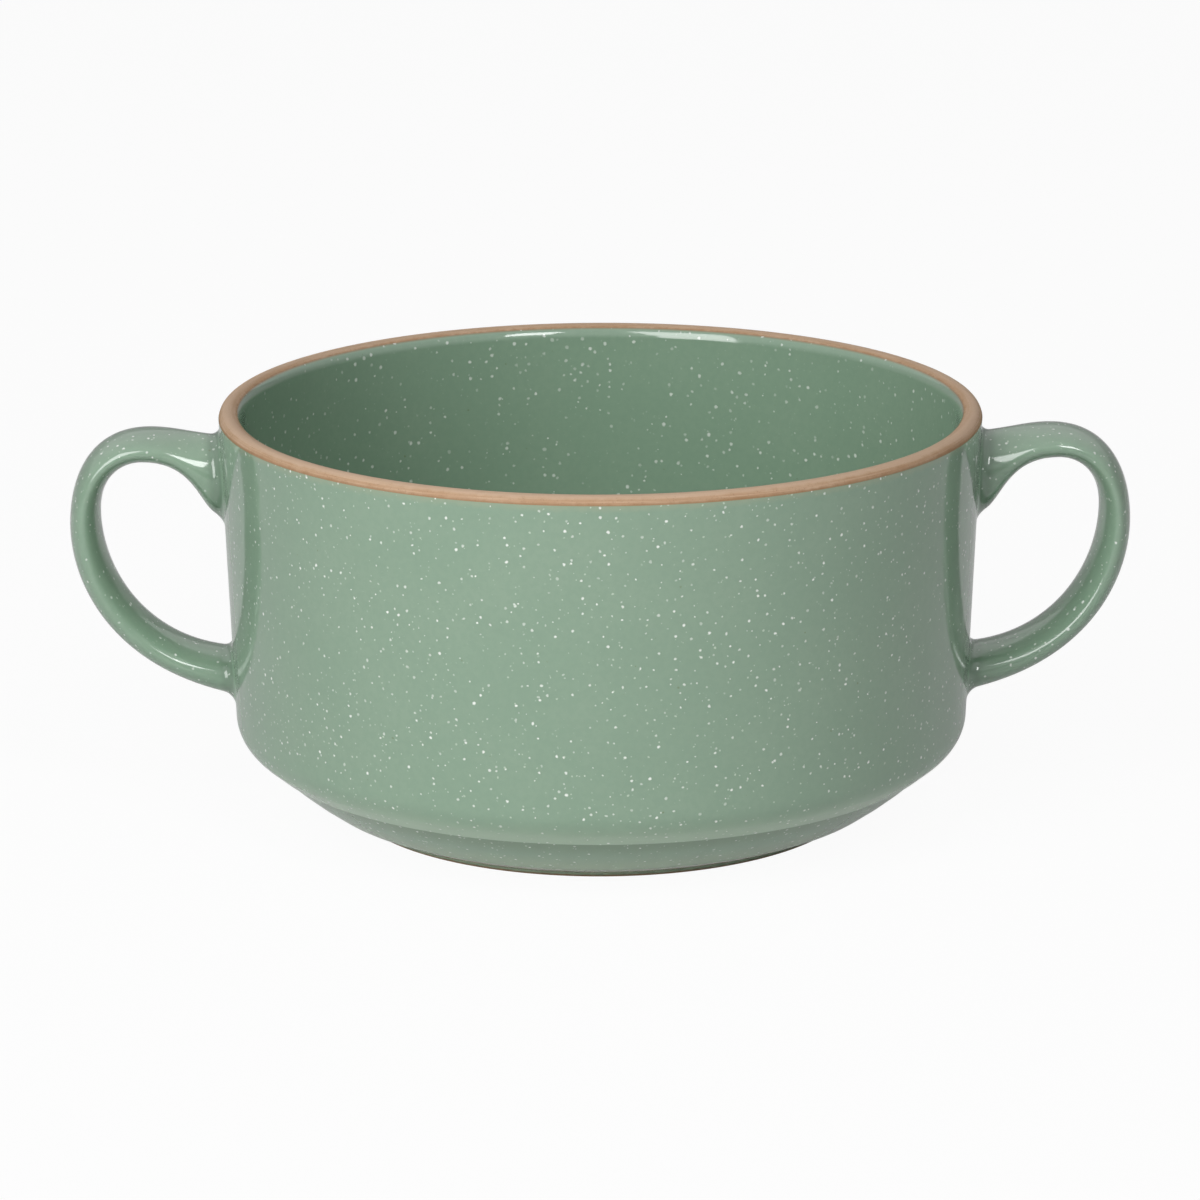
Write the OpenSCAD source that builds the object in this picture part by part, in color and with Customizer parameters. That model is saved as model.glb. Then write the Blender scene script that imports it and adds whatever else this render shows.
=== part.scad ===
// Lug soup bowl in glazed stoneware: a straight-sided bowl with a bare clay lip
// and a stepped foot, and two ear handles luted to its wall with slip.
// Millimetres, +Z up, +X through the handles, origin on the table under the middle.

/* [Bowl] */
// Outside diameter of the lip
rim_od = 130; // [124:1:150]
// Height from the table to the top of the lip
bowl_h = 70.5; // [66:0.5:90]
// Thickness of the wall with its glaze
wall_t = 4; // [3.2:0.1:5.5]
// Outward lean of the wall, in degrees
wall_draft = 2.2; // [1:0.1:4]
// Thickness of the floor with its glaze
floor_t = 5; // [4:0.1:8]
// Radius between the wall and the floor inside
inside_r = 18; // [15:0.5:26]

/* [Base] */
// Height of the corner under the wall
corner_h = 14; // [13:0.5:17]
// Rounding of the corner under the wall
corner_r = 6; // [2:0.5:8]
// How far the step stands in from the lip
step_in = 6.5; // [5:0.25:9]
// Height of the step
step_h = 10.4; // [8:0.2:11]
// Width of the ledge under the step
step_ledge = 0.3; // [0.2:0.1:1]
// Bulge of the underside between the step and the edge above the foot
belly = 0.25; // [0.1:0.05:0.5]
// How far the edge above the foot stands in from the step
foot_in = 9.5; // [7:0.25:12]
// Height of the edge above the foot
foot_h = 3; // [2.5:0.1:5]
// Rounding of the edge above the foot
foot_edge_r = 0.8; // [0.2:0.1:2]
// Width of the bevel under that edge
bevel_w = 5.5; // [4:0.25:8]
// How far the bare side of the foot ring leans out
ring_lean = 1; // [0.5:0.1:2]
// Width of the ring that stands on the table
ring_w = 5; // [3.5:0.25:10]
// Depth of the recess
recess_depth = 2; // [1:0.1:3]
// Inward slope of the recess wall
recess_slope = 1; // [0.2:0.1:2]
// Rounding of the recess corner
recess_r = 0.8; // [0.7:0.1:1]

/* [Glaze] */
// Thickness of the glaze, and of the slip under it
glaze_t = 0.4; // [0.25:0.05:0.6]
// Bare clay below the top of the lip, outside, which sets the lip's outer round
bare_out = 1.5; // [0.6:0.1:1.6]
// Bare clay below the top of the lip, inside
bare_in = 0.6; // [0.3:0.05:1.5]
// Bare clay above the table on the foot ring
bare_foot = 0.9; // [0.6:0.1:2]
// Bare clay above the table on the recess wall
bare_recess = 0.5; // [0.1:0.1:0.6]

/* [Handles] */
// How far a handle stands out from the lip
handle_reach = 25.8; // [23:0.1:34]
// Width of the strap from front to back
strap_w = 15; // [11:0.5:20]
// Thickness of the strap at its top
strap_top_t = 5.2; // [4:0.1:7]
// Thickness of the strap at its widest reach
strap_side_t = 5.2; // [4:0.1:7]
// Drop from the lip to the top of the strap
crown_drop = 4.2; // [3.5:0.1:7]
// Distance in from the widest reach to the top of the strap, outer curve
crown_out = 13.8; // [11:0.1:17]
// Distance in from the widest reach to the top of the strap, inner curve
crown_in = 7.4; // [5:0.1:10]
// Drop from the lip to the widest reach of the outer curve
reach_drop = 20.8; // [18:0.1:26]
// Drop from the lip to the widest reach of the inner curve
inner_reach_drop = 18.8; // [16:0.1:24]
// Drop from the lip to the top of the upper root
upper_drop = 5.4; // [5:0.1:8]
// Height of the upper root on the wall
upper_h = 13.8; // [10:0.1:17]
// Rise from the corner under the wall to the lower root
lower_rise = 5.8; // [5:0.1:9]
// Height of the lower root on the wall
lower_h = 7.7; // [6:0.1:11]
// Slope of the strap's outer curve where it leaves the upper root, in degrees
upper_slope = 5; // [0:1:15]
// Slope of the strap's outer curve at the lower root, in degrees
lower_slope = 13.5; // [5:0.5:25]
// Slope of the strap's inner curve at the lower root, in degrees
inner_slope = 3; // [0:0.5:12]
// Fillet where a root meets the wall
root_fillet = 2; // [1:0.1:2.4]

/* [Hidden] */
$fn = 120;

clay_colour = "#be9d7b";
slip_colour = "#a98763";
glaze_colour = "#8fac92";

// Lip: a small round outside, which ends just below the bare clay, and a larger one inside
lip_out_r = bare_out + 0.1;
lip_in_r = (wall_t - lip_out_r * (1 + sin(wall_draft))) / (1 - sin(wall_draft));
lip_out_c = [rim_od / 2 - lip_out_r, bowl_h - lip_out_r];
lip_in_c = [lip_out_c[0], bowl_h - lip_in_r];
out_edge_a = asin((lip_out_r - bare_out) / lip_out_r);
in_edge_a = 180 - asin((lip_in_r - bare_in) / lip_in_r);
arc_steps = 8;
lip_steps = 8;

// Diameters of the step, the edge above the foot, the ring on the table and the recess inside it
step_d = rim_od - 2 * step_in;
foot_d = step_d - 2 * foot_in;
stand_d = foot_d - 2 * bevel_w;
recess_d = stand_d - 2 * ring_w;

// Levels
floor_z = recess_depth + floor_t;
upper_top_z = bowl_h - upper_drop;
upper_low_z = upper_top_z - upper_h;
lower_low_z = corner_h + lower_rise;
lower_top_z = lower_low_z + lower_h;

// Pull of the handle's curves at their end points, from the upper root round to the lower root
outer_pull = [4.5, 4.5, 11, 7.5, 10.5, 21.5];
inner_pull = [4.5, 10.5, 3, 7, 11, 14.5];

// Handle mesh: points round the strap, rings along each stretch of it, and the run over which
// the strap's sections change from the curve of the wall to flat
strap_sides = 24;
upper_rings = 6;
crown_rings = 10;
lower_rings = 11;
fillet_rings = 5;
wrap_run = 10;

// Plane geometry
function unit(v) = v / norm(v);
function left_of(v) = [-v[1], v[0]];
function flat(p) = [p[0], p[1]];
function polar(r, a) = [r * cos(a), r * sin(a)];
function turned(v, a) = [v[0] * cos(a) - v[1] * sin(a), v[0] * sin(a) + v[1] * cos(a)];
function reversed(list) = [for (k = [len(list) - 1 : -1 : 0]) list[k]];
function but_first(list) = [for (k = [1 : len(list) - 1]) list[k]];
function arc(c, r, a0, a1, steps) = [for (k = [0 : steps]) c + polar(r, a0 + (a1 - a0) * k / steps)];
function cross_z(a, b) = a[0] * b[1] - a[1] * b[0];
function way(path, k) = unit(flat(path[k + 1]) - flat(path[k]));

// A path is a list of [r, z, rounding]. This moves it sideways, to its left.
function moved_corner(path, k, d) =
    let (n0 = left_of(way(path, k - 1)), n1 = left_of(way(path, k)))
    let (side = sign(cross_z(n0, n1)), p = flat(path[k]) + d * (n0 + n1) / (1 + n0 * n1))
    [p[0], p[1], path[k][2] == 0 ? 0 : max(0, path[k][2] - d * side)];
function moved_end(path, k, w, d) =
    let (p = flat(path[k]) + d * left_of(w))
    [p[0], p[1], 0];
function moved(path, d) =
    let (last = len(path) - 1)
    [for (k = [0 : last])
        k == 0 ? moved_end(path, 0, way(path, 0), d) :
        k == last ? moved_end(path, last, way(path, last - 1), d) :
        moved_corner(path, k, d)];

// The points of a path, with each rounded corner as an arc
function corner_points(path, k) =
    let (w0 = way(path, k - 1), w1 = way(path, k), r = path[k][2])
    let (side = sign(cross_z(w0, w1)), turn = acos(w0 * w1), start = flat(path[k]) - r * tan(turn / 2) * w0)
    let (c = start + side * r * left_of(w0))
    r == 0 ? [flat(path[k])] :
    [for (j = [0 : arc_steps]) c + turned(start - c, side * turn * j / arc_steps)];
function points(path) =
    let (last = len(path) - 1)
    [for (k = [0 : last]) each (k == 0 || k == last ? [flat(path[k])] : corner_points(path, k))];

// Radius of the wall at a height: over the glaze, and of the clay under it
function wall_r(z) = lip_out_c[0] + lip_out_r / cos(wall_draft) + (z - lip_out_c[1]) * tan(wall_draft);
function clay_r(z) = wall_r(z) - glaze_t / cos(wall_draft);
function inside_wall_r(z) = wall_r(z) - wall_t / cos(wall_draft);

// Middle of the underside between the foot and the step: where the tangents of its arc meet,
// and the arc's radius, a little small so that straight ends stay
foot_p = [foot_d / 2, foot_h];
ledge_p = [step_d / 2 - step_ledge, step_h];
belly_p = (foot_p + ledge_p) / 2 - 2 * belly * left_of(unit(ledge_p - foot_p));
belly_r = 0.95 * norm(belly_p - foot_p) * norm(ledge_p - foot_p) / (4 * belly);

// Outside of the glaze, from the bevel of the foot up to the lip
bevel_r = stand_d / 2 + ring_lean;
outside = [
    [bevel_r, bare_foot, 0],
    concat(foot_p, foot_edge_r),
    concat(belly_p, belly_r),
    concat(ledge_p, 0),
    [step_d / 2, step_h, 0],
    [wall_r(corner_h), corner_h, corner_r],
    concat(lip_out_c + polar(lip_out_r, -wall_draft), 0)
];

// Inside of the glaze, from the lip down to the middle of the floor
inside = [
    concat(lip_in_c + polar(lip_in_r, 180 - wall_draft), 0),
    [inside_wall_r(floor_z), floor_z, inside_r],
    [0, floor_z, 0]
];

// Underside of the glaze in the recess, from the foot ring to the middle
recess_bare_r = recess_d / 2 - recess_slope * bare_recess / recess_depth;
recess = [
    [recess_bare_r, bare_recess, 0],
    [recess_d / 2 - recess_slope, recess_depth, recess_r],
    [0, recess_depth, 0]
];

// The ends of the glaze on the lip, at a depth under its surface
function outer_lip(depth) =
    but_first(arc(lip_out_c, lip_out_r - depth, -wall_draft, out_edge_a, arc_steps));
function inner_lip(depth) =
    but_first(arc(lip_in_c, lip_in_r - depth, 180 - wall_draft, in_edge_a, arc_steps));

module bowl_body() {
    color(clay_colour) rotate_extrude() polygon(concat(
        [[recess_d / 2, 0], [stand_d / 2, 0], [bevel_r, bare_foot]],
        points(moved(outside, glaze_t)),
        outer_lip(glaze_t),
        arc(lip_out_c, lip_out_r, out_edge_a, 90, lip_steps),
        but_first(arc(lip_in_c, lip_in_r, 90, in_edge_a, lip_steps)),
        reversed(inner_lip(glaze_t)),
        points(moved(inside, glaze_t)),
        reversed(points(moved(recess, -glaze_t))),
        [flat(recess[0])]
    ));
}

module inner_glaze() {
    color(glaze_colour) rotate_extrude() polygon(concat(
        reversed(inner_lip(0)),
        points(inside),
        reversed(points(moved(inside, glaze_t))),
        inner_lip(glaze_t)
    ));
}

module foot_glaze() {
    color(glaze_colour) rotate_extrude() polygon(concat(
        points(recess),
        reversed(points(moved(recess, -glaze_t)))
    ));
}

module outer_glaze() {
    color(glaze_colour) difference() {
        rotate_extrude() polygon(concat(
            points(outside),
            outer_lip(0),
            reversed(outer_lip(glaze_t)),
            reversed(points(moved(outside, glaze_t)))
        ));
        for (side = [0, 1]) mirror([side, 0, 0]) {
            root_prism(glaze_rings[0]);
            root_prism(glaze_rings[len(glaze_rings) - 1]);
        }
    }
}

// Outer and inner curves of a handle, in the plane y = 0, as three stretches each:
// upper root to top, top to widest reach, widest reach to lower root
function wall_point(z) = [wall_r(z), z];
function stretches(root, top, reach, foot, pull, root_a, foot_a) = [
    [root, root + polar(pull[0], root_a), top - [pull[1], 0], top],
    [top, top + [pull[2], 0], reach + [0, pull[3]], reach],
    [reach, reach - [0, pull[4]], foot + polar(pull[5], foot_a), foot]
];
outer_x = rim_od / 2 + handle_reach;
inner_x = outer_x - strap_side_t;
top_z = bowl_h - crown_drop;
outer_curve = stretches(
    wall_point(upper_top_z), [outer_x - crown_out, top_z], [outer_x, bowl_h - reach_drop],
    wall_point(lower_low_z), outer_pull, upper_slope, lower_slope
);
inner_curve = stretches(
    wall_point(upper_low_z), [inner_x - crown_in, top_z - strap_top_t], [inner_x, bowl_h - inner_reach_drop],
    wall_point(lower_top_z), inner_pull, 0, inner_slope
);
function bezier(p, u) =
    pow(1 - u, 3) * p[0] + 3 * u * pow(1 - u, 2) * p[1] + 3 * u * u * (1 - u) * p[2] + pow(u, 3) * p[3];

// A station is [stretch, place on the outer curve, place on the inner curve, growth of the section].
// Near a root the section grows along a quarter circle, which makes the fillet.
function near_root(d, pull) = d / (3 * pull);
function fillet_d(k) = root_fillet * (1 - cos(90 * k / fillet_rings));
function fillet_growth(k) = root_fillet * (1 - sin(90 * k / fillet_rings));
upper_start = [near_root(root_fillet, outer_pull[0]), near_root(root_fillet, inner_pull[0])];
lower_end = [1 - near_root(root_fillet, outer_pull[5]), 1 - near_root(root_fillet, inner_pull[5])];
stations = concat(
    [for (k = [0 : fillet_rings - 1])
        [0, near_root(fillet_d(k), outer_pull[0]), near_root(fillet_d(k), inner_pull[0]), fillet_growth(k)]],
    [for (k = [0 : upper_rings])
        let (u = upper_start + ([1, 1] - upper_start) * k / upper_rings) [0, u[0], u[1], 0]],
    [for (k = [1 : crown_rings]) [1, k / crown_rings, k / crown_rings, 0]],
    [for (k = [1 : lower_rings]) let (u = lower_end * k / lower_rings) [2, u[0], u[1], 0]],
    [for (k = [fillet_rings - 1 : -1 : 0])
        [2, 1 - near_root(fillet_d(k), outer_pull[5]), 1 - near_root(fillet_d(k), inner_pull[5]),
         fillet_growth(k)]]
);

// An elliptical section of the strap, bent round the wall where it is close to it
function wrap(d) = let (s = max(0, min(1, 1 - d / wrap_run))) s * s * (3 - 2 * s);
function bend(r, y) = r - sqrt(r * r - y * y);
function ring(s, depth) =
    let (o = bezier(outer_curve[s[0]], s[1]), i = bezier(inner_curve[s[0]], s[2]))
    let (c = (o + i) / 2, n = unit(o - i))
    let (a = norm(o - i) / 2 + s[3] - depth, b = strap_w / 2 + s[3] - depth)
    let (w = wrap(c[0] - wall_r(c[1])))
    [for (k = [0 : strap_sides - 1])
        let (t = 360 * k / strap_sides, p = c + n * a * cos(t), y = b * sin(t))
        [p[0] - w * bend(wall_r(p[1]), y), y, p[1]]];

// The same outline on the clay of the wall, and shrunk on the face of a root
function on_clay(ring) = [for (p = ring) [clay_r(p[2]) - bend(clay_r(p[2]), p[1]), p[1], p[2]]];
function middle_z(ring) = (ring[0][2] + ring[strap_sides / 2][2]) / 2;
function shrunk(ring, s) =
    [for (p = ring) let (y = s * p[1], z = middle_z(ring) + s * (p[2] - middle_z(ring)))
        [wall_r(z) - bend(wall_r(z), y), y, z]];
clay_rings = [for (s = stations) ring(s, glaze_t)];
glaze_rings = [for (s = stations) ring(s, 0)];

// Triangles between ring k and ring m
function band(k, m) = [
    for (j = [0 : strap_sides - 1])
        let (i = (j + 1) % strap_sides, a = k * strap_sides, b = m * strap_sides)
        each [[a + j, a + i, b + i], [a + j, b + i, b + j]]
];

// A solid through rings, closed at both ends by a fan
module closed_loft(rings, start, end) {
    count = len(rings);
    first = count * strap_sides;
    last_ring = (count - 1) * strap_sides;
    polyhedron(
        points = concat([for (r = rings) each r], [start, end]),
        faces = concat(
            [for (k = [0 : count - 2]) each band(k, k + 1)],
            [for (j = [0 : strap_sides - 1]) [first, (j + 1) % strap_sides, j]],
            [for (j = [0 : strap_sides - 1]) [first + 1, last_ring + j, last_ring + (j + 1) % strap_sides]]
        )
    );
}

// A tube through rings that lead out along its outside and back along its inside
module ring_loft(rings) {
    count = len(rings);
    polyhedron(
        points = [for (r = rings) each r],
        faces = [for (k = [0 : count - 1]) each band(k, (k + 1) % count)]
    );
}

// A straight prism along X with the outline of a root
module root_prism(ring) {
    translate([rim_od / 4, 0, 0])
        rotate([90, 0, 90])
            linear_extrude(height = rim_od / 2)
                polygon([for (p = ring) [p[1], p[2]]]);
}

module strap() {
    upper = clay_rings[0];
    lower = clay_rings[len(clay_rings) - 1];
    closed_loft(
        concat(
            [shrunk(upper, 1 / 3), shrunk(upper, 2 / 3)],
            clay_rings,
            [shrunk(lower, 2 / 3), shrunk(lower, 1 / 3)]
        ),
        wall_face_point(middle_z(upper)),
        wall_face_point(middle_z(lower))
    );
}
function wall_face_point(z) = [wall_r(z), 0, z];

module strap_glaze() {
    last = len(stations) - 1;
    ring_loft(concat(
        [on_clay(glaze_rings[0])],
        glaze_rings,
        [on_clay(glaze_rings[last]), on_clay(clay_rings[last])],
        reversed(clay_rings),
        [on_clay(clay_rings[0])]
    ));
}

module slip_bed(ring) {
    low = middle_z(ring) - norm(ring[0] - ring[strap_sides / 2]);
    high = middle_z(ring) + norm(ring[0] - ring[strap_sides / 2]);
    intersection() {
        rotate_extrude() polygon([
            [clay_r(low), low], [wall_r(low), low], [wall_r(high), high], [clay_r(high), high]
        ]);
        root_prism(ring);
    }
}

module slip_beds() {
    slip_bed(clay_rings[0]);
    slip_bed(clay_rings[len(clay_rings) - 1]);
}

module right_handle() { color(clay_colour) strap(); }
module right_slip() { color(slip_colour) slip_beds(); }
module right_handle_glaze() { color(glaze_colour) strap_glaze(); }
module left_handle() { color(clay_colour) mirror([1, 0, 0]) strap(); }
module left_slip() { color(slip_colour) mirror([1, 0, 0]) slip_beds(); }
module left_handle_glaze() { color(glaze_colour) mirror([1, 0, 0]) strap_glaze(); }

bowl_body();
outer_glaze();
inner_glaze();
foot_glaze();
left_handle();
left_slip();
left_handle_glaze();
right_handle();
right_slip();
right_handle_glaze();
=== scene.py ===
"""Looks of the lug soup bowl: speckled sage glaze over stoneware, on a white studio sweep.

Lengths are in millimetres until a mesh, light or camera is made, which takes metres. The frame is
the CAD part's: +Z up, +X through the right-hand handle, the photograph taken from -Y.
"""

import math

import bmesh
import bpy
from mathutils import Matrix, Vector


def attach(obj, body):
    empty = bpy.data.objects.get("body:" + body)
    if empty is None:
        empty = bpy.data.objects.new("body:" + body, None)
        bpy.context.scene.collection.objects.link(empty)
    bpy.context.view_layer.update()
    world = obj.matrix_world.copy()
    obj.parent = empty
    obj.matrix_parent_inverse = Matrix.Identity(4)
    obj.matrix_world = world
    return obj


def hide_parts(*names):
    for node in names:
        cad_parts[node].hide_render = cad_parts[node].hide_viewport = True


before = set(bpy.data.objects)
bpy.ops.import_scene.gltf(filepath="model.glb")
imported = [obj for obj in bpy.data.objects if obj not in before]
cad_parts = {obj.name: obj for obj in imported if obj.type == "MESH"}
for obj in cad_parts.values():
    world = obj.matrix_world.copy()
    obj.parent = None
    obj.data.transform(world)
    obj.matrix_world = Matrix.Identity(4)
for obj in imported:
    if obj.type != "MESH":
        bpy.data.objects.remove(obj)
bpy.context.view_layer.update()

MM = 0.001

# Bowl, as in the CAD source
RIM_OD = 130.0
BOWL_H = 70.5
WALL_T = 4.0
DRAFT = math.radians(2.2)
FLOOR_T = 5.0
INSIDE_R = 18.0
CORNER_H = 14.0
CORNER_R = 6.0
STEP_D = 117.0
STEP_H = 10.4
STEP_LEDGE = 0.3
STEP_EDGE_R = 0.12
BELLY = 0.25
BELLY_SPREAD = 0.95
FOOT_D = 98.0
FOOT_H = 3.0
FOOT_EDGE_R = 0.8
STAND_D = 87.0
STAND_EDGE_R = 0.2
RING_LEAN = 1.0
RECESS_D = 77.0
RECESS_DEPTH = 2.0
RECESS_SLOPE = 1.0
RECESS_R = 0.8

# Glaze, and the bare clay beyond its edges
GLAZE_T = 0.4
BARE_OUT = 1.5
BARE_IN = 0.6
BARE_FOOT = 0.9
BARE_RECESS = 0.5
CLAY_SINK = 0.05

# Handles, as in the CAD source
HANDLE_REACH = 25.8
STRAP_W = 15.0
STRAP_TOP_T = 5.2
STRAP_SIDE_T = 5.2
CROWN_DROP = 4.2
CROWN_OUT = 13.8
CROWN_IN = 7.4
REACH_DROP = 20.8
INNER_REACH_DROP = 18.8
UPPER_DROP = 5.4
UPPER_H = 13.8
LOWER_RISE = 5.8
LOWER_H = 7.7
UPPER_SLOPE = math.radians(5)
LOWER_SLOPE = math.radians(13.5)
INNER_SLOPE = math.radians(3)
ROOT_FILLET = 2.0
OUTER_PULL = (4.5, 4.5, 11.0, 7.5, 10.5, 21.5)
INNER_PULL = (4.5, 10.5, 3.0, 7.0, 11.0, 14.5)
WRAP_RUN = 10.0

# Mesh density
ROUND_SEGMENTS = 288
ARC_STEP = math.radians(4)
LINE_STEP = 2.0
STRAP_SIDES = 72
UPPER_RINGS = 18
CROWN_RINGS = 30
LOWER_RINGS = 34
FILLET_RINGS = 12
SHARP = math.radians(38)
STRAIGHT = 1e-4
ON_AXIS = 1e-6

# Levels and radii worked out from the sizes above
LIP_MARGIN = 0.1
LIP_OUT_R = BARE_OUT + LIP_MARGIN
LIP_IN_R = (WALL_T - LIP_OUT_R * (1 + math.sin(DRAFT))) / (1 - math.sin(DRAFT))
LIP_OUT_C = Vector((RIM_OD / 2 - LIP_OUT_R, BOWL_H - LIP_OUT_R))
LIP_IN_C = Vector((LIP_OUT_C.x, BOWL_H - LIP_IN_R))
OUT_EDGE_A = math.asin(LIP_MARGIN / LIP_OUT_R)
IN_EDGE_A = math.pi - math.asin((LIP_IN_R - BARE_IN) / LIP_IN_R)
FLOOR_Z = RECESS_DEPTH + FLOOR_T
OUT_EDGE_Z = BOWL_H - BARE_OUT
IN_EDGE_Z = BOWL_H - BARE_IN


def polar(r, a):
    return Vector((r * math.cos(a), r * math.sin(a)))


def arc(centre, r, a0, a1):
    steps = max(2, math.ceil(abs(a1 - a0) / ARC_STEP))
    return [centre + polar(r, a0 + (a1 - a0) * k / steps) for k in range(steps + 1)]


def wall_r(z):
    """Radius of the outside of the glaze on the wall."""
    return LIP_OUT_C.x + LIP_OUT_R / math.cos(DRAFT) + (z - LIP_OUT_C.y) * math.tan(DRAFT)


def clay_r(z):
    return wall_r(z) - GLAZE_T / math.cos(DRAFT)


def inside_wall_r(z):
    return wall_r(z) - WALL_T / math.cos(DRAFT)


def left_of(v):
    return Vector((-v.y, v.x))


def corner_arc(before, corner, after, r):
    """The points of a corner rounded to radius r, or the corner itself."""
    w0 = (corner - before).normalized()
    w1 = (after - corner).normalized()
    turn = w0.angle(w1)
    if r <= 0 or turn < STRAIGHT:
        return [corner]
    side = 1 if w0.cross(w1) > 0 else -1
    start = corner - w0 * r * math.tan(turn / 2)
    centre = start + left_of(w0) * side * r
    a0 = math.atan2(start.y - centre.y, start.x - centre.x)
    return arc(centre, r, a0, a0 + side * turn)


def rounded(path):
    """The points of a path of (r, z, rounding), with straight runs cut into short steps."""
    flat = [Vector(p[:2]) for p in path]
    raw = [flat[0]]
    for k in range(1, len(path) - 1):
        raw += corner_arc(flat[k - 1], flat[k], flat[k + 1], path[k][2])
    raw.append(flat[-1])
    points = [raw[0]]
    for a, b in zip(raw, raw[1:]):
        pieces = max(1, math.ceil((b - a).length / LINE_STEP))
        points += [a.lerp(b, k / pieces) for k in range(1, pieces + 1)]
    return points


def offset(path, d):
    """A path moved sideways by d, to its left."""
    flat = [Vector(p[:2]) for p in path]
    ways = [(b - a).normalized() for a, b in zip(flat, flat[1:])]
    moved = []
    for k, p in enumerate(path):
        n0 = left_of(ways[max(0, k - 1)])
        n1 = left_of(ways[min(k, len(ways) - 1)])
        q = flat[k] + (n0 + n1) * d / (1 + n0.dot(n1))
        side = 1 if n0.cross(n1) > 0 else -1
        moved.append((q.x, q.y, max(0, p[2] - d * side) if p[2] else 0))
    return moved


def with_rounding(p, r=0.0):
    return (p.x, p.y, r)


# Outlines of the glazed surfaces, each from one edge of the glaze to the other
BEVEL_R = STAND_D / 2 + RING_LEAN
FOOT_P = Vector((FOOT_D / 2, FOOT_H))
LEDGE_P = Vector((STEP_D / 2 - STEP_LEDGE, STEP_H))
BELLY_P = (FOOT_P + LEDGE_P) / 2 - left_of((LEDGE_P - FOOT_P).normalized()) * 2 * BELLY
BELLY_R = BELLY_SPREAD * (BELLY_P - FOOT_P).length * (LEDGE_P - FOOT_P).length / (4 * BELLY)
OUTSIDE = [
    (BEVEL_R, BARE_FOOT, 0),
    with_rounding(FOOT_P, FOOT_EDGE_R),
    with_rounding(BELLY_P, BELLY_R),
    with_rounding(LEDGE_P, STEP_EDGE_R),
    (STEP_D / 2, STEP_H, STEP_EDGE_R),
    (wall_r(CORNER_H), CORNER_H, CORNER_R),
    with_rounding(LIP_OUT_C + polar(LIP_OUT_R, -DRAFT)),
]
INSIDE = [
    with_rounding(LIP_IN_C + polar(LIP_IN_R, math.pi - DRAFT)),
    (inside_wall_r(FLOOR_Z), FLOOR_Z, INSIDE_R),
    (0, FLOOR_Z, 0),
]
RECESS_BARE_R = RECESS_D / 2 - RECESS_SLOPE * BARE_RECESS / RECESS_DEPTH
RECESS = [
    (RECESS_BARE_R, BARE_RECESS, 0),
    (RECESS_D / 2 - RECESS_SLOPE, RECESS_DEPTH, RECESS_R),
    (0, RECESS_DEPTH, 0),
]
STAND = [
    (BEVEL_R, BARE_FOOT, 0),
    (STAND_D / 2, 0, STAND_EDGE_R),
    (RECESS_D / 2, 0, STAND_EDGE_R),
    (RECESS_BARE_R, BARE_RECESS, 0),
]


def outer_lip(depth):
    return arc(LIP_OUT_C, LIP_OUT_R - depth, -DRAFT, OUT_EDGE_A)[1:]


def inner_lip(depth):
    return arc(LIP_IN_C, LIP_IN_R - depth, math.pi - DRAFT, IN_EDGE_A)[1:]


def new_object(name, verts, faces, material):
    """A closed mesh from points in millimetres, smooth but for its sharp edges, riding on the root."""
    mesh = bpy.data.meshes.new(name)
    mesh.from_pydata([Vector(v) * MM for v in verts], [], faces)
    work = bmesh.new()
    work.from_mesh(mesh)
    bmesh.ops.recalc_face_normals(work, faces=work.faces)
    work.to_mesh(mesh)
    work.free()
    mesh.polygons.foreach_set("use_smooth", [True] * len(mesh.polygons))
    mesh.set_sharp_from_angle(angle=SHARP)
    mesh.materials.append(material)
    obj = bpy.data.objects.new(name, mesh)
    bpy.context.scene.collection.objects.link(obj)
    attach(obj, "root")
    return obj


def revolve(name, outline, material):
    """A solid of revolution from a closed outline of (r, z) points, which may touch the axis."""
    verts = []
    rings = []
    for p in outline:
        start = len(verts)
        if p.x < ON_AXIS:
            verts.append((0, 0, p.y))
            rings.append([start] * ROUND_SEGMENTS)
            continue
        for k in range(ROUND_SEGMENTS):
            a = 2 * math.pi * k / ROUND_SEGMENTS
            verts.append((p.x * math.cos(a), p.x * math.sin(a), p.y))
        rings.append(list(range(start, start + ROUND_SEGMENTS)))
    faces = []
    for ring, following in zip(rings, rings[1:] + rings[:1]):
        for k in range(ROUND_SEGMENTS):
            m = (k + 1) % ROUND_SEGMENTS
            corners = (ring[k], ring[m], following[m], following[k])
            face = list(dict.fromkeys(corners))
            if len(face) > 2:
                faces.append(face)
    return new_object(name, verts, faces, material)


def tube(name, rings, material):
    """A closed tube through rings that lead out along its outside and back along its inside."""
    sides = len(rings[0])
    verts = [p for ring in rings for p in ring]
    faces = []
    for k in range(len(rings)):
        a = k * sides
        b = (k + 1) % len(rings) * sides
        for j in range(sides):
            i = (j + 1) % sides
            faces.append((a + j, a + i, b + i, b + j))
    return new_object(name, verts, faces, material)


# Handle: a loft between an outer and an inner curve in the plane y = 0
def wall_point(z):
    return Vector((wall_r(z), z))


def stretches(root, top, reach, foot, pull, root_a, foot_a):
    """Three curve stretches: upper root to top, top to widest reach, widest reach to lower root."""
    return (
        (root, root + polar(pull[0], root_a), top - Vector((pull[1], 0)), top),
        (top, top + Vector((pull[2], 0)), reach + Vector((0, pull[3])), reach),
        (reach, reach - Vector((0, pull[4])), foot + polar(pull[5], foot_a), foot),
    )


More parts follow.
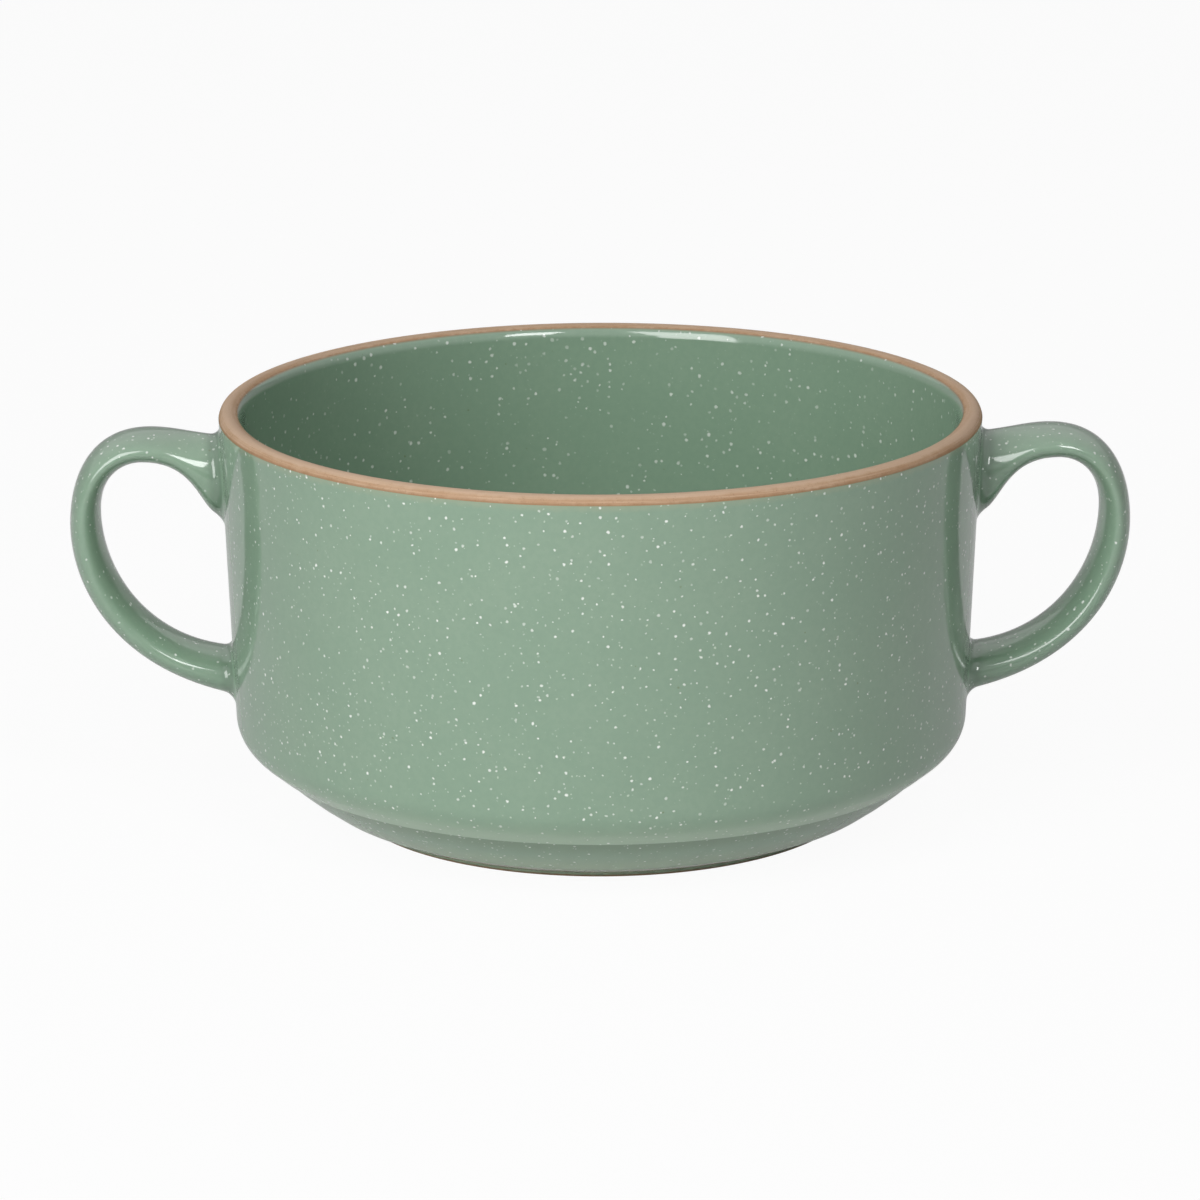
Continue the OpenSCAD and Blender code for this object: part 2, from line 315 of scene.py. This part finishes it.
OUTER_X = RIM_OD / 2 + HANDLE_REACH
INNER_X = OUTER_X - STRAP_SIDE_T
TOP_Z = BOWL_H - CROWN_DROP
UPPER_TOP_Z = BOWL_H - UPPER_DROP
LOWER_LOW_Z = CORNER_H + LOWER_RISE
OUTER_CURVE = stretches(
    wall_point(UPPER_TOP_Z), Vector((OUTER_X - CROWN_OUT, TOP_Z)),
    Vector((OUTER_X, BOWL_H - REACH_DROP)), wall_point(LOWER_LOW_Z),
    OUTER_PULL, UPPER_SLOPE, LOWER_SLOPE,
)
INNER_CURVE = stretches(
    wall_point(UPPER_TOP_Z - UPPER_H), Vector((INNER_X - CROWN_IN, TOP_Z - STRAP_TOP_T)),
    Vector((INNER_X, BOWL_H - INNER_REACH_DROP)), wall_point(LOWER_LOW_Z + LOWER_H),
    INNER_PULL, 0, INNER_SLOPE,
)


def bezier(p, u):
    v = 1 - u
    return p[0] * v**3 + p[1] * 3 * u * v**2 + p[2] * 3 * u**2 * v + p[3] * u**3


def strap_stations():
    """Places along the strap: (stretch, outer u, inner u, growth), where growth makes the fillets."""
    def near(d, pull):
        return d / (3 * pull)

    fillet = []
    for k in range(FILLET_RINGS):
        a = math.pi / 2 * k / FILLET_RINGS
        fillet.append((ROOT_FILLET * (1 - math.cos(a)), ROOT_FILLET * (1 - math.sin(a))))
    found = [(0, near(d, OUTER_PULL[0]), near(d, INNER_PULL[0]), g) for d, g in fillet]
    start = (near(ROOT_FILLET, OUTER_PULL[0]), near(ROOT_FILLET, INNER_PULL[0]))
    for k in range(UPPER_RINGS + 1):
        t = k / UPPER_RINGS
        found.append((0, start[0] + (1 - start[0]) * t, start[1] + (1 - start[1]) * t, 0))
    found += [(1, k / CROWN_RINGS, k / CROWN_RINGS, 0) for k in range(1, CROWN_RINGS + 1)]
    end = (1 - near(ROOT_FILLET, OUTER_PULL[5]), 1 - near(ROOT_FILLET, INNER_PULL[5]))
    found += [
        (2, end[0] * k / LOWER_RINGS, end[1] * k / LOWER_RINGS, 0) for k in range(1, LOWER_RINGS + 1)
    ]
    found += [
        (2, 1 - near(d, OUTER_PULL[5]), 1 - near(d, INNER_PULL[5]), g) for d, g in reversed(fillet)
    ]
    return found


def bend(r, y):
    """How far a circle of radius r has fallen back at the distance y from its crest."""
    return r - math.sqrt(r * r - y * y)


def strap_ring(station, depth):
    """An elliptical section of the strap, bent round the wall where it is close to it."""
    stretch, u, v, growth = station
    o = bezier(OUTER_CURVE[stretch], u)
    i = bezier(INNER_CURVE[stretch], v)
    c = (o + i) / 2
    n = (o - i).normalized()
    half_t = (o - i).length / 2 + growth - depth
    half_w = STRAP_W / 2 + growth - depth
    s = max(0, min(1, 1 - (c.x - wall_r(c.y)) / WRAP_RUN))
    wrap = s * s * (3 - 2 * s)
    ring = []
    for k in range(STRAP_SIDES):
        t = 2 * math.pi * k / STRAP_SIDES
        p = c + n * half_t * math.cos(t)
        y = half_w * math.sin(t)
        ring.append(Vector((p.x - wrap * bend(wall_r(p.y), y), y, p.y)))
    return ring


def on_clay(ring):
    """The outline of a ring, on the clay of the wall."""
    return [Vector((clay_r(p.z) - bend(clay_r(p.z), p.y), p.y, p.z)) for p in ring]


def strap_coat_rings(side):
    """Rings of the glaze coat of a handle, for side 1 on the right and -1 on the left."""
    stations = strap_stations()
    skin = [strap_ring(s, 0) for s in stations]
    core = [strap_ring(s, GLAZE_T) for s in stations]
    rings = [on_clay(skin[0])] + skin + [on_clay(skin[-1]), on_clay(core[-1])]
    rings += core[::-1] + [on_clay(core[0])]
    return [[Vector((side * p.x, p.y, p.z)) for p in ring] for ring in rings]


# Node helpers
def add_node(tree, kind, inputs=None, **settings):
    """A shader node. A socket among the inputs is linked, and any other value is set."""
    made = tree.nodes.new("ShaderNode" + kind)
    for key, value in settings.items():
        setattr(made, key, value)
    for key, value in (inputs or {}).items():
        if isinstance(value, bpy.types.NodeSocket):
            tree.links.new(value, made.inputs[key])
        else:
            made.inputs[key].default_value = value
    return made


def math_node(tree, operation, a, b):
    return add_node(tree, "Math", {0: a, 1: b}, operation=operation).outputs[0]


def scaled(tree, value, factor, extra):
    """The value times a factor, plus an extra."""
    inputs = {0: value, 1: factor, 2: extra}
    return add_node(tree, "Math", inputs, operation="MULTIPLY_ADD").outputs[0]


def ramp(tree, value, low, high, to_low=0.0, to_high=1.0):
    """A smooth step of value between low and high."""
    inputs = {"Value": value, "From Min": low, "From Max": high, "To Min": to_low, "To Max": to_high}
    return add_node(tree, "MapRange", inputs, interpolation_type="SMOOTHSTEP").outputs["Result"]


def mix(tree, factor, a, b):
    """Colour a where the factor is 0 and colour b where it is 1."""
    inputs = {0: factor, 6: a, 7: b}
    return add_node(tree, "Mix", inputs, data_type="RGBA").outputs[2]


def noise(tree, place, size, detail=2.0, roughness=0.5):
    """Noise from 0 to 1 with features of about the given size."""
    inputs = {"Vector": place, "Scale": 1 / size, "Detail": detail, "Roughness": roughness}
    return add_node(tree, "TexNoise", inputs).outputs["Fac"]


def vector_math(tree, operation, a, b):
    return add_node(tree, "VectorMath", {0: a, 1: b}, operation=operation).outputs[0]


def millimetres(tree):
    """The place on the object, in millimetres."""
    place = add_node(tree, "TexCoord").outputs["Object"]
    return vector_math(tree, "MULTIPLY", place, (1 / MM, 1 / MM, 1 / MM))


def cylindrical(tree, place):
    """The distance from the bowl's axis, and the height."""
    plan = vector_math(tree, "MULTIPLY", place, (1, 1, 0))
    radius = add_node(tree, "VectorMath", {0: plan}, operation="LENGTH").outputs["Value"]
    height = add_node(tree, "SeparateXYZ", {0: place}).outputs[2]
    return radius, height


def ragged_level(tree, place, height, size, swing):
    """The height, wavering by half the swing up and down."""
    return math_node(tree, "ADD", height, scaled(tree, noise(tree, place, size), swing, -swing / 2))


def specks(tree, place, cell, radius, share, shift, growth=1.0):
    """Round specks in the glaze: their cover, from 0 to 1, and a random number for each."""
    moved = vector_math(tree, "ADD", place, (shift, 2 * shift, 3 * shift))
    cells = add_node(tree, "TexVoronoi", {"Vector": moved, "Scale": 1 / cell})
    chance = add_node(tree, "SeparateColor", {"Color": cells.outputs["Color"]})
    size = ramp(tree, chance.outputs[0], 0, 1, SMALLEST_SPECK * radius / cell, radius / cell)
    size = math_node(tree, "MULTIPLY", size, growth)
    reach = math_node(tree, "DIVIDE", cells.outputs["Distance"], size)
    kept = math_node(tree, "LESS_THAN", chance.outputs[1], share)
    cover = math_node(tree, "MULTIPLY", ramp(tree, reach, 1, SPECK_CORE), kept)
    return cover, chance.outputs[2]


def new_material(name):
    made = bpy.data.materials.new(name)
    made.use_nodes = True
    made.node_tree.nodes.clear()
    return made, made.node_tree


def surface(tree, shader):
    add_node(tree, "OutputMaterial", {"Surface": shader.outputs[0]})


# Glaze colours, linear
GLAZE_MAIN = (0.248, 0.366, 0.264, 1)
GLAZE_PALE = (0.278, 0.390, 0.286, 1)
GLAZE_DEEP = (0.222, 0.340, 0.246, 1)
GLAZE_THIN = (0.345, 0.385, 0.262, 1)
# Painted shade under the step
STEP_PAINTED_SHADE = (0.168, 0.260, 0.170, 1)
# Paler over the step: the glaze thinner at the edge, and painted light
GLAZE_BREAK_AND_LIGHT = (0.365, 0.505, 0.362, 1)
# Painted light toward the foot edge
FOOT_PAINTED_LIGHT = (0.365, 0.478, 0.342, 1)
GLAZE_EDGE = (0.280, 0.230, 0.130, 1)
# Darker in the handles' fillets: gathered glaze and painted shade
SEAM_POOL_AND_SHADE = (0.165, 0.250, 0.178, 1)
SPECK_WHITE = (0.86, 0.90, 0.85, 1)
SPECK_PALE = (0.50, 0.61, 0.49, 1)
SPECK_DARK = (0.16, 0.21, 0.09, 1)

# Glaze zones, in millimetres, and how far each takes on its colour; some hold painted light and shade
# at the step, the foot and the handles' fillets
EDGE_WAVER = 0.9
LIP_TINT_H = 1.3
LIP_TINT_W = 1.5
LIP_TINT = 0.55
RIM_TINT_H = 0.35
RIM_TINT = 0.85
BREAK_AND_LIGHT_H = 5.0
FOOT_LIGHT_H = 4.5
STEP_SHADE_H = 4.0
STEP_BLUR = 0.5
SEAM_W = 3.0
SEAM_POOL_AND_SHADE_TINT = 0.9
BASE_LEAN = 1.1
BASE_R = (41, 43)
WITHIN_WALL = (-2, -3)

# Specks: how far they stray from round, their smallest size and solid core as shares of the radius,
# the share of the bright ones that is kept, and what becomes of them on the inside
SPECK_STRAY = 0.35
STRAY_SCALE = 1.6
SMALLEST_SPECK = 0.45
SPECK_CORE = 0.4
BRIGHT_SHARE = 0.95
INSIDE_BRIGHT_SHARE = 0.52
INSIDE_BRIGHT_GROWTH = 1.35
INSIDE_BRIGHT = 0.72
INSIDE_FAINT = 0.3

# Gloss and relief
GLAZE_IOR = 1.70
GLAZE_ROUGHNESS = (0.06, 0.10)
PEEL_SIZE = 5.5
PEEL_DEPTH = 0.25
PEEL_STRENGTH = 0.22
SPECK_RELIEF = 0.10


def glaze_material():
    """Gloss glaze with white specks, thinner and warmer at its edges, with painted light over the step
    and toward the foot, painted shade under the step, and gathered glaze with painted shade in the
    handles' fillets.
    """
    made, tree = new_material("speckled_glaze")
    place = millimetres(tree)
    radius, height = cylindrical(tree, place)

    cloud = noise(tree, place, size=16, detail=3)
    fleck = noise(tree, place, size=1.1, detail=3, roughness=0.65)
    colour = mix(tree, ramp(tree, cloud, 0.35, 0.7, 0, 0.4), GLAZE_MAIN, GLAZE_PALE)
    colour = mix(tree, ramp(tree, fleck, 0.62, 0.38, 0, 0.3), colour, GLAZE_DEEP)

    level = ragged_level(tree, place, height, size=2.2, swing=EDGE_WAVER)
    lip_edge = ramp(tree, level, OUT_EDGE_Z - LIP_TINT_H, OUT_EDGE_Z + LIP_MARGIN, 0, LIP_TINT)
    lip_side = ramp(tree, radius, LIP_IN_C.x - LIP_TINT_W, LIP_IN_C.x)
    lip_edge = math_node(tree, "MULTIPLY", lip_edge, lip_side)
    colour = mix(tree, lip_edge, colour, GLAZE_THIN)
    rim_edge = ramp(tree, height, IN_EDGE_Z - RIM_TINT_H, IN_EDGE_Z, 0, RIM_TINT)
    colour = mix(tree, rim_edge, colour, GLAZE_EDGE)

    # The painted light over the step and toward the foot and the painted shade under the step are the
    # outside's alone: the inside and the recess lie nearer the axis.
    outside = ramp(tree, scaled(tree, height, -BASE_LEAN, radius), *BASE_R)
    # Over the step the glaze is paler: partly the glaze thinning at the edge, partly painted light in
    # place of the floor's bounce and reflection.
    above_step = ramp(tree, height, STEP_H - 0.05, STEP_H + 0.05)
    near_step = ramp(tree, level, STEP_H + BREAK_AND_LIGHT_H, STEP_H + STEP_BLUR)
    step_break_and_light = math_node(tree, "MULTIPLY", above_step, near_step)
    # Painted light: the glaze paler toward the foot edge, in place of the floor's bounce and
    # reflection.
    toward_foot_light = ramp(tree, level, FOOT_H + FOOT_LIGHT_H, FOOT_H)
    colour = mix(tree, math_node(tree, "MULTIPLY", outside, step_break_and_light), colour, GLAZE_BREAK_AND_LIGHT)
    colour = mix(tree, math_node(tree, "MULTIPLY", outside, toward_foot_light), colour, FOOT_PAINTED_LIGHT)
    # Painted shade: the glaze darker just under the step's ledge, in place of its shadow.
    under_step = ramp(tree, level, STEP_H - STEP_SHADE_H, STEP_H - STEP_BLUR)
    step_painted_shade = math_node(tree, "SUBTRACT", under_step, above_step)
    colour = mix(tree, math_node(tree, "MULTIPLY", outside, step_painted_shade), colour, STEP_PAINTED_SHADE)

    # The glaze gathers in the fillets at the handles' roots, and its darkness there is also painted
    # shade in the creases.
    wall = scaled(tree, height, math.tan(DRAFT), wall_r(0))
    from_wall = math_node(tree, "SUBTRACT", radius, wall)
    off_wall = ramp(tree, from_wall, 0.05, 0.5, 0, SEAM_POOL_AND_SHADE_TINT)
    fillet_pool_and_shade = math_node(tree, "MULTIPLY", off_wall, ramp(tree, from_wall, SEAM_W, 1.0))
    colour = mix(tree, fillet_pool_and_shade, colour, SEAM_POOL_AND_SHADE)

    # The inside shows fewer but larger specks than the outside.
    off_outside = math_node(tree, "SUBTRACT", 1, outside)
    within = math_node(tree, "MULTIPLY", off_outside, ramp(tree, from_wall, *WITHIN_WALL))
    wobble = add_node(tree, "TexNoise", {"Vector": place, "Scale": STRAY_SCALE, "Detail": 1.0})
    strayed = vector_math(tree, "MULTIPLY", wobble.outputs["Color"], (SPECK_STRAY,) * 3)
    spot_place = vector_math(tree, "ADD", place, strayed)
    faint, faint_chance = specks(tree, spot_place, cell=1.1, radius=0.25, share=0.7, shift=3.0)
    faint = math_node(tree, "MULTIPLY", faint, ramp(tree, faint_chance, 0, 1, 0.3, 1))
    faint = math_node(tree, "MULTIPLY", faint, ramp(tree, within, 0, 1, 1, INSIDE_FAINT))
    colour = mix(tree, faint, colour, SPECK_PALE)
    share = ramp(tree, within, 0, 1, BRIGHT_SHARE, INSIDE_BRIGHT_SHARE)
    growth = ramp(tree, within, 0, 1, 1, INSIDE_BRIGHT_GROWTH)
    bright, bright_chance = specks(
        tree, spot_place, cell=1.35, radius=0.34, share=share, shift=17.0, growth=growth
    )
    bright = math_node(tree, "MULTIPLY", bright, ramp(tree, bright_chance, 0, 1, 0.4, 1))
    bright = math_node(tree, "MULTIPLY", bright, ramp(tree, within, 0, 1, 1, INSIDE_BRIGHT))
    colour = mix(tree, bright, colour, SPECK_WHITE)
    dark, dark_chance = specks(tree, spot_place, cell=3.6, radius=0.26, share=0.6, shift=41.0)
    dark = math_node(tree, "MULTIPLY", dark, ramp(tree, dark_chance, 0, 1, 0.15, 0.6))
    colour = mix(tree, dark, colour, SPECK_DARK)

    peel = noise(tree, place, PEEL_SIZE)
    bumped = scaled(tree, bright, SPECK_RELIEF, peel)
    normal = add_node(
        tree, "Bump", {"Height": bumped, "Strength": PEEL_STRENGTH, "Distance": PEEL_DEPTH * MM}
    ).outputs[0]
    rough = ramp(tree, noise(tree, place, size=3), 0.3, 0.7, *GLAZE_ROUGHNESS)
    shader = add_node(tree, "BsdfPrincipled", {
        "Base Color": colour, "Roughness": rough, "IOR": GLAZE_IOR, "Normal": normal,
    })
    surface(tree, shader)
    return made


# Clay colours, linear
CLAY_MAIN = (0.448, 0.271, 0.149, 1)
CLAY_PALE = (0.612, 0.440, 0.310, 1)
CLAY_DEEP = (0.330, 0.185, 0.090, 1)
CLAY_GRAIN = (0.240, 0.150, 0.090, 1)
CLAY_WASH = (0.420, 0.520, 0.380, 1)
SLIP_MAIN = (0.397, 0.242, 0.125, 1)

# Clay marks, the painted sheen on the lip's crest, gloss and relief
STREAK_PULL = 0.03
CLAY_WAVER = 0.5
LINE_TINT = 0.85
CREST_SHEEN_TINT = 0.8
CLAY_IOR = 1.45
CLAY_ROUGHNESS = (0.58, 0.78)
GRAIN_DEPTH = 0.12
GRAIN_STRENGTH = 0.35
STREAK_RELIEF = 0.6


def clay_material(name, main):
    """Bare fired clay with the fine rings that sponging leaves, browner along the glaze, and a painted
    sheen on the crest of the lip.
    """
    made, tree = new_material(name)
    place = millimetres(tree)
    radius, height = cylindrical(tree, place)

    across = math_node(tree, "SUBTRACT", radius, height)
    lengthwise = vector_math(tree, "MULTIPLY", place, (STREAK_PULL, STREAK_PULL, 0))
    stretched = add_node(tree, "CombineXYZ", {2: across}).outputs[0]
    streak_place = vector_math(tree, "ADD", lengthwise, stretched)
    streak = noise(tree, streak_place, size=0.45, detail=3, roughness=0.6)
    patch = noise(tree, place, size=7)
    grain = noise(tree, place, size=0.28, roughness=0.7)
    colour = mix(tree, ramp(tree, streak, 0.35, 0.7, 0, 0.7), main, CLAY_PALE)
    colour = mix(tree, ramp(tree, patch, 0.35, 0.7, 0, 0.25), colour, CLAY_PALE)
    colour = mix(tree, ramp(tree, grain, 0.56, 0.76, 0, 0.6), colour, CLAY_GRAIN)

    level = ragged_level(tree, place, height, size=1.4, swing=CLAY_WAVER)
    outside = ramp(tree, radius, LIP_OUT_C.x - 0.2, LIP_OUT_C.x + 0.2)
    inside = math_node(tree, "SUBTRACT", 1, outside)
    out_line = ramp(tree, level, OUT_EDGE_Z + 0.6, OUT_EDGE_Z + 0.05)
    out_line = math_node(tree, "MULTIPLY", out_line, outside)
    in_line = ramp(tree, level, IN_EDGE_Z + 0.25, IN_EDGE_Z - 0.05)
    in_line = math_node(tree, "MULTIPLY", in_line, inside)
    line = math_node(tree, "MAXIMUM", out_line, in_line)
    colour = mix(tree, math_node(tree, "MULTIPLY", line, LINE_TINT), colour, CLAY_DEEP)
    # Painted sheen: the crest of the lip paler, in place of the reflection it catches at grazing
    # angles.
    crest = ramp(tree, level, BOWL_H - 0.75, BOWL_H - 0.2, 0, CREST_SHEEN_TINT)
    outward = ramp(tree, radius, LIP_OUT_C.x - 1.2, LIP_OUT_C.x, 0.25, 1)
    colour = mix(tree, math_node(tree, "MULTIPLY", crest, outward), colour, CLAY_PALE)
    washed = ramp(tree, level, 0.2, BARE_FOOT - 0.2)
    at_foot = ramp(tree, level, FOOT_H, FOOT_H - 1)
    colour = mix(tree, math_node(tree, "MULTIPLY", washed, at_foot), colour, CLAY_WASH)

    bumped = scaled(tree, streak, STREAK_RELIEF, grain)
    normal = add_node(
        tree, "Bump", {"Height": bumped, "Strength": GRAIN_STRENGTH, "Distance": GRAIN_DEPTH * MM}
    ).outputs[0]
    rough = ramp(tree, grain, 0.3, 0.7, *CLAY_ROUGHNESS)
    shader = add_node(tree, "BsdfPrincipled", {
        "Base Color": colour, "Roughness": rough, "IOR": CLAY_IOR, "Normal": normal,
    })
    surface(tree, shader)
    return made


glaze = glaze_material()
clay = clay_material("bare_stoneware", CLAY_MAIN)
slip = clay_material("luting_slip", SLIP_MAIN)

# Pieces
body_outline = rounded(offset(OUTSIDE, GLAZE_T)) + outer_lip(GLAZE_T)
body_outline += arc(LIP_OUT_C, LIP_OUT_R - CLAY_SINK, OUT_EDGE_A, math.pi / 2)
body_outline += arc(LIP_IN_C, LIP_IN_R - CLAY_SINK, math.pi / 2, IN_EDGE_A)[1:]
body_outline += inner_lip(GLAZE_T)[::-1] + rounded(offset(INSIDE, GLAZE_T))
body_outline += rounded(offset(RECESS, -GLAZE_T))[::-1] + rounded(STAND)[::-1]
body = revolve("clay_body", body_outline, clay)
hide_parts("bowl_body")

outside_outline = rounded(OUTSIDE) + outer_lip(0) + outer_lip(GLAZE_T)[::-1]
outside_outline += rounded(offset(OUTSIDE, GLAZE_T))[::-1]
outside = revolve("outside_coat", outside_outline, glaze)
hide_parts("outer_glaze")

inside_outline = inner_lip(0)[::-1] + rounded(INSIDE)
inside_outline += rounded(offset(INSIDE, GLAZE_T))[::-1] + inner_lip(GLAZE_T)
inside = revolve("inside_coat", inside_outline, glaze)
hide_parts("inner_glaze")

recess_outline = rounded(RECESS) + rounded(offset(RECESS, -GLAZE_T))[::-1]
recess = revolve("recess_coat", recess_outline, glaze)
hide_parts("foot_glaze")

for side, hand in ((-1, "left"), (1, "right")):
    coat = tube(hand + "_handle_coat", strap_coat_rings(side), glaze)
    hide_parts(hand + "_handle_glaze")
    for node_name, material in ((hand + "_handle", clay), (hand + "_slip", slip)):
        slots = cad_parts[node_name].data.materials
        slots.clear()
        slots.append(material)

# Studio, in metres: a white sweep, two softboxes in front, a large weak light above and behind,
# and a room that is dark but for what the camera and the gloss see of it
SWEEP_R = 2.2
SWEEP_WALL = 0.7
SWEEP_BEND = 0.4
SWEEP_BEND_STEPS = 12
SWEEP_SEGMENTS = 96
SWEEP_GAP = 0.05 * MM
FLOOR_COLOUR = (0.80, 0.80, 0.80, 1)
BACKDROP_WHITE = 1.0
SEEN_SHARE = 0.95
MIRRORED_SHARE = 0.25


def studio_sweep():
    """A round floor whose edge curves up into a low wall."""
    profile = [(0.0, 0.0), (SWEEP_R - SWEEP_BEND, 0.0)]
    for k in range(1, SWEEP_BEND_STEPS + 1):
        a = math.pi / 2 * k / SWEEP_BEND_STEPS
        r = SWEEP_R - SWEEP_BEND + SWEEP_BEND * math.sin(a)
        profile.append((r, SWEEP_BEND * (1 - math.cos(a))))
    profile.append((SWEEP_R, SWEEP_WALL))
    verts = [(0, 0, 0)]
    for r, z in profile[1:]:
        for k in range(SWEEP_SEGMENTS):
            a = 2 * math.pi * k / SWEEP_SEGMENTS
            verts.append((r * math.cos(a), r * math.sin(a), z))
    faces = [(0, 1 + k, 1 + (k + 1) % SWEEP_SEGMENTS) for k in range(SWEEP_SEGMENTS)]
    for ring in range(len(profile) - 2):
        a = 1 + ring * SWEEP_SEGMENTS
        b = a + SWEEP_SEGMENTS
        for k in range(SWEEP_SEGMENTS):
            m = (k + 1) % SWEEP_SEGMENTS
            faces.append((a + k, b + k, b + m, a + m))
    mesh = bpy.data.meshes.new("studio_sweep")
    mesh.from_pydata(verts, [], faces)
    mesh.polygons.foreach_set("use_smooth", [True] * len(mesh.polygons))
    mesh.materials.append(sweep_material())
    sweep = bpy.data.objects.new("studio_sweep", mesh)
    sweep.location.z = -SWEEP_GAP
    bpy.context.scene.collection.objects.link(sweep)


def mirrored_ray(tree, path):
    return math_node(tree, "MAXIMUM", path["Is Glossy Ray"], path["Is Transmission Ray"])


def sweep_material():
    """White floor, near full white to the camera and in part to reflections, with soft shadows."""
    made, tree = new_material("white_sweep")
    path = add_node(tree, "LightPath").outputs
    seen = math_node(tree, "MULTIPLY", path["Is Camera Ray"], SEEN_SHARE)
    mirrored = math_node(tree, "MULTIPLY", mirrored_ray(tree, path), MIRRORED_SHARE)
    share = math_node(tree, "MAXIMUM", seen, mirrored)
    paint = add_node(tree, "BsdfDiffuse", {"Color": FLOOR_COLOUR})
    glow = add_node(tree, "Emission", {"Strength": BACKDROP_WHITE})
    both = add_node(tree, "MixShader", {0: share, 1: paint.outputs[0], 2: glow.outputs[0]})
    surface(tree, both)
    return made


def softbox(name, azimuth, elevation, distance, width, height, power):
    """An area light aimed at the bowl. Azimuth is from the camera's side, positive to the right."""
    a = math.radians(azimuth)
    e = math.radians(elevation)
    target = Vector((0, 0, BOWL_H / 2 * MM))
    way = Vector((math.sin(a) * math.cos(e), -math.cos(a) * math.cos(e), math.sin(e)))
    lamp = bpy.data.lights.new(name, "AREA")
    lamp.shape = "RECTANGLE"
    lamp.size = width
    lamp.size_y = height
    lamp.energy = power
    obj = bpy.data.objects.new(name, lamp)
    obj.location = target + way * distance
    obj.rotation_euler = (-way).to_track_quat("-Z", "Y").to_euler()
    bpy.context.scene.collection.objects.link(obj)


studio_sweep()
softbox(
    "key_softbox", azimuth=-34, elevation=30, distance=1.2, width=0.62, height=1.15, power=11.3
)
softbox(
    "fill_softbox", azimuth=26, elevation=43, distance=1.2, width=0.30, height=0.45, power=3.6
)
softbox(
    "top_light", azimuth=180, elevation=72, distance=1.5, width=3.0, height=2.4, power=4.5
)

ROOM_WHITE = (1, 1, 1, 1)
ROOM_LEVEL = 0.01
ROOM_SEEN_LEVEL = 0.80


def dim_room():
    """A world that hardly lights the bowl but shows pale to the camera and in reflections."""
    world = bpy.data.worlds.new("dim_room")
    bpy.context.scene.world = world
    world.use_nodes = True
    tree = world.node_tree
    tree.nodes.clear()
    path = add_node(tree, "LightPath").outputs
    seen = math_node(tree, "MAXIMUM", path["Is Camera Ray"], mirrored_ray(tree, path))
    dim = add_node(tree, "Background", {"Color": ROOM_WHITE, "Strength": ROOM_LEVEL})
    pale = add_node(tree, "Background", {"Color": ROOM_WHITE, "Strength": ROOM_SEEN_LEVEL})
    both = add_node(tree, "MixShader", {0: seen, 1: dim.outputs[0], 2: pale.outputs[0]})
    add_node(tree, "OutputWorld", {"Surface": both.outputs[0]})


dim_room()

# Camera, fitted to the photograph's outline of the lip, step and foot
IMAGE_PX = 1200
FOCAL_PX = 5276
SENSOR_MM = 36.0
CAMERA_RANGE = 0.900
CAMERA_ELEVATION = math.radians(13.3)
CAMERA_PITCH = math.radians(15.44)
CAMERA_YAW = math.radians(-0.8)
CAMERA_AIM = math.radians(0.01)
CAMERA_ROLL = math.radians(-0.14)
lens = bpy.data.cameras.new("photo_camera")
lens.sensor_width = SENSOR_MM
lens.lens = FOCAL_PX / IMAGE_PX * SENSOR_MM
camera = bpy.data.objects.new("photo_camera", lens)
ground = CAMERA_RANGE * math.cos(CAMERA_ELEVATION)
camera.location = (
    ground * math.sin(CAMERA_YAW),
    -ground * math.cos(CAMERA_YAW),
    BOWL_H * MM + CAMERA_RANGE * math.sin(CAMERA_ELEVATION),
)
turn = Matrix.Rotation(CAMERA_YAW + CAMERA_AIM, 3, "Z")
tilt = Matrix.Rotation(math.pi / 2 - CAMERA_PITCH, 3, "X")
roll = Matrix.Rotation(CAMERA_ROLL, 3, "Z")
camera.rotation_euler = (turn @ tilt @ roll).to_euler()
bpy.context.scene.collection.objects.link(camera)
bpy.context.scene.camera = camera
bpy.context.scene.view_settings.view_transform = "Standard"
